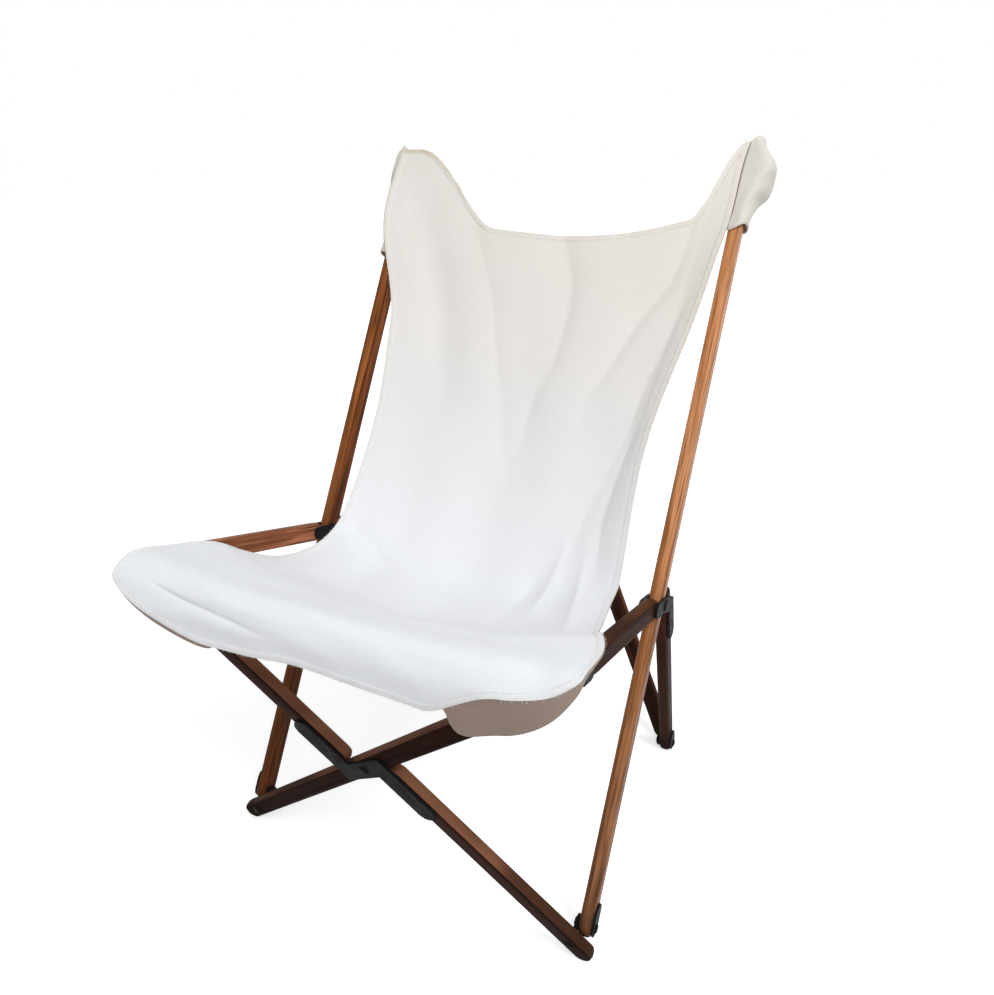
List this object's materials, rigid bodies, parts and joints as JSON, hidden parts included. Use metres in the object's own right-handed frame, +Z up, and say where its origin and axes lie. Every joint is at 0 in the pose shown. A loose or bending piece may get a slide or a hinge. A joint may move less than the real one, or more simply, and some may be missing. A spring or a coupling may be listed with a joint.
{
  "type": "folding butterfly sling chair",
  "caption": "Folding timber sling chair: crossed flat bars with iron straps make a low cage, and a canvas sling hangs by pockets on its four tips as seat and back.",
  "frame": {"origin": "middle of the chair's bounding box, on the floor", "axes": "+Z up; the chair faces -Y; +X is to the right as seen from the front"},
  "size_m": [0.6494, 0.7952, 1.0202],
  "materials": {
    "wood": "oiled red-brown hardwood, satin",
    "dark_wood": "darker, weathered hardwood, satin",
    "iron": "blackened wrought iron",
    "canvas": "off-white cotton canvas",
    "pocket_canvas": "unbleached canvas, second layer at the pockets"
  },
  "bodies": {
    "right_side": {"right_side_bar": "wood", "right_front_foot_plate": "iron", "right_front_foot_pin": "iron", "right_top_plate": "iron", "right_top_pin": "iron", "right_top_pocket": "pocket_canvas", "sling_back": "canvas"},
    "right_seat": {"right_seat_rail": "wood", "right_rear_leg": "dark_wood", "right_strap_outer": "iron", "right_strap_inner": "iron", "right_crossing_rivet": "iron", "right_front_tip_plate": "iron", "right_front_tip_pin": "iron", "right_rear_foot_plate": "iron", "right_rear_foot_pin": "iron", "right_front_pocket": "pocket_canvas", "sling_seat": "canvas"},
    "front_right_eye": {"right_front_foot_eye_bolt": "iron"},
    "front_split": {"front_cross_upper": "wood", "front_cross_lower": "wood", "front_strap": "iron", "front_crossing_rivet": "iron"},
    "front_long": {"front_cross_bar": "wood"},
    "front_left_eye": {"left_front_foot_eye_bolt": "iron"},
    "left_side": {"left_side_bar": "wood", "left_front_foot_plate": "iron", "left_front_foot_pin": "iron", "left_top_plate": "iron", "left_top_pin": "iron", "left_top_pocket": "pocket_canvas"},
    "left_seat": {"left_seat_rail": "wood", "left_rear_leg": "dark_wood", "left_strap_outer": "iron", "left_strap_inner": "iron", "left_crossing_rivet": "iron", "left_front_tip_plate": "iron", "left_front_tip_pin": "iron", "left_rear_foot_plate": "iron", "left_rear_foot_pin": "iron", "left_front_pocket": "pocket_canvas"},
    "top_right_eye": {"right_top_eye_bolt": "iron"},
    "rear_long": {"rear_cross_bar": "dark_wood"},
    "rear_split": {"rear_cross_upper": "dark_wood", "rear_cross_lower": "dark_wood", "rear_strap": "iron", "rear_crossing_rivet": "iron"},
    "left_front_tip_eye": {"left_front_tip_eye_bolt": "iron"},
    "right_front_tip_eye": {"right_front_tip_eye_bolt": "iron"},
    "left_top_eye": {"left_top_eye_bolt": "iron"},
    "right_rear_foot_eye": {"right_rear_foot_eye_bolt": "iron"},
    "left_rear_foot_eye": {"left_rear_foot_eye_bolt": "iron"}
  },
  "joints": [
    {"name": "fold", "type": "hinge", "parent": "right_side", "child": "right_seat", "pos_m": [0.288, 0.00154, 0.42376], "axis": [-1, 0, 0], "range_deg": [0, 50.9], "deforming": ["sling_back", "sling_seat", "left_top_pocket", "right_top_pocket", "left_front_pocket", "right_front_pocket"]},
    {"name": "front_right_swivel", "type": "hinge", "parent": "right_side", "child": "front_right_eye", "pos_m": [0.288, -0.23708, 0.036], "axis": [-1, 0, 0], "range_deg": [0, 19.81]},
    {"name": "front_right_shank", "type": "hinge", "parent": "front_right_eye", "child": "front_split", "pos_m": [0.2757, -0.26258, 0.03092], "axis": [0, 0.9807, 0.1954], "range_deg": [0, 33.55]},
    {"name": "front_crossing", "type": "hinge", "parent": "front_split", "child": "front_long", "pos_m": [0, -0.31158, 0.27692], "axis": [0, -0.9807, -0.1954], "range_deg": [0, 67.08]},
    {"name": "front_left_shank", "type": "hinge", "parent": "front_long", "child": "front_left_eye", "pos_m": [-0.2757, -0.26258, 0.03092], "axis": [0, 0.9807, 0.1954], "range_deg": [0, 33.55]},
    {"name": "front_left_swivel", "type": "hinge", "parent": "front_left_eye", "child": "left_side", "pos_m": [-0.288, -0.23708, 0.036], "axis": [1, 0, 0], "range_deg": [0, 19.81]},
    {"name": "left_fold", "type": "hinge", "parent": "left_side", "child": "left_seat", "pos_m": [-0.288, 0.00154, 0.42376], "axis": [-1, 0, 0], "range_deg": [0, 50.9]},
    {"name": "top_right_swivel", "type": "hinge", "parent": "right_side", "child": "top_right_eye", "pos_m": [0.288, 0.34692, 0.985], "axis": [-1, 0, 0], "range_deg": [0, 20.29]},
    {"name": "top_right_shank", "type": "hinge", "parent": "top_right_eye", "child": "rear_long", "pos_m": [0.2757, 0.37262, 0.98105], "axis": [0, -0.9884, 0.1518], "range_deg": [0, 20.02]},
    {"name": "rear_crossing", "type": "hinge", "parent": "rear_long", "child": "rear_split", "pos_m": [0, 0.29812, 0.49605], "axis": [0, 0.9884, -0.1518], "range_deg": [0, 40.02]},
    {"name": "left_front_tip_shank", "type": "hinge", "parent": "front_split", "child": "left_front_tip_eye", "pos_m": [-0.2757, -0.36058, 0.52292], "axis": [0, -0.9807, -0.1954], "range_deg": [0, 33.55]},
    {"name": "right_front_tip_shank", "type": "hinge", "parent": "front_long", "child": "right_front_tip_eye", "pos_m": [0.2757, -0.36058, 0.52292], "axis": [0, 0.9807, 0.1954], "range_deg": [0, 33.55]},
    {"name": "left_top_shank", "type": "hinge", "parent": "rear_split", "child": "left_top_eye", "pos_m": [-0.2757, 0.37262, 0.98105], "axis": [0, -0.9884, 0.1518], "range_deg": [0, 20.02]},
    {"name": "right_rear_foot_shank", "type": "hinge", "parent": "rear_split", "child": "right_rear_foot_eye", "pos_m": [0.2757, 0.22362, 0.01105], "axis": [0, -0.9884, 0.1518], "range_deg": [0, 20.02]},
    {"name": "left_rear_foot_shank", "type": "hinge", "parent": "rear_long", "child": "left_rear_foot_eye", "pos_m": [-0.2757, 0.22362, 0.01105], "axis": [0, 0.9884, -0.1518], "range_deg": [0, 20.02]}
  ],
  "couplings": [
    {"joint": "front_right_swivel", "follows": "fold", "ratio": 0.38895},
    {"joint": "front_right_shank", "follows": "fold", "ratio": 0.65883},
    {"joint": "front_crossing", "follows": "fold", "ratio": 1.3177},
    {"joint": "front_left_shank", "follows": "fold", "ratio": 0.65883},
    {"joint": "front_left_swivel", "follows": "fold", "ratio": 0.38895},
    {"joint": "left_fold", "follows": "fold", "ratio": 1},
    {"joint": "top_right_swivel", "follows": "fold", "ratio": 0.39842},
    {"joint": "top_right_shank", "follows": "fold", "ratio": 0.39297},
    {"joint": "rear_crossing", "follows": "fold", "ratio": 0.78594},
    {"joint": "left_front_tip_shank", "follows": "fold", "ratio": 0.65883},
    {"joint": "right_front_tip_shank", "follows": "fold", "ratio": 0.65883},
    {"joint": "left_top_shank", "follows": "fold", "ratio": 0.39297},
    {"joint": "right_rear_foot_shank", "follows": "fold", "ratio": 0.39297},
    {"joint": "left_rear_foot_shank", "follows": "fold", "ratio": 0.39297}
  ]
}
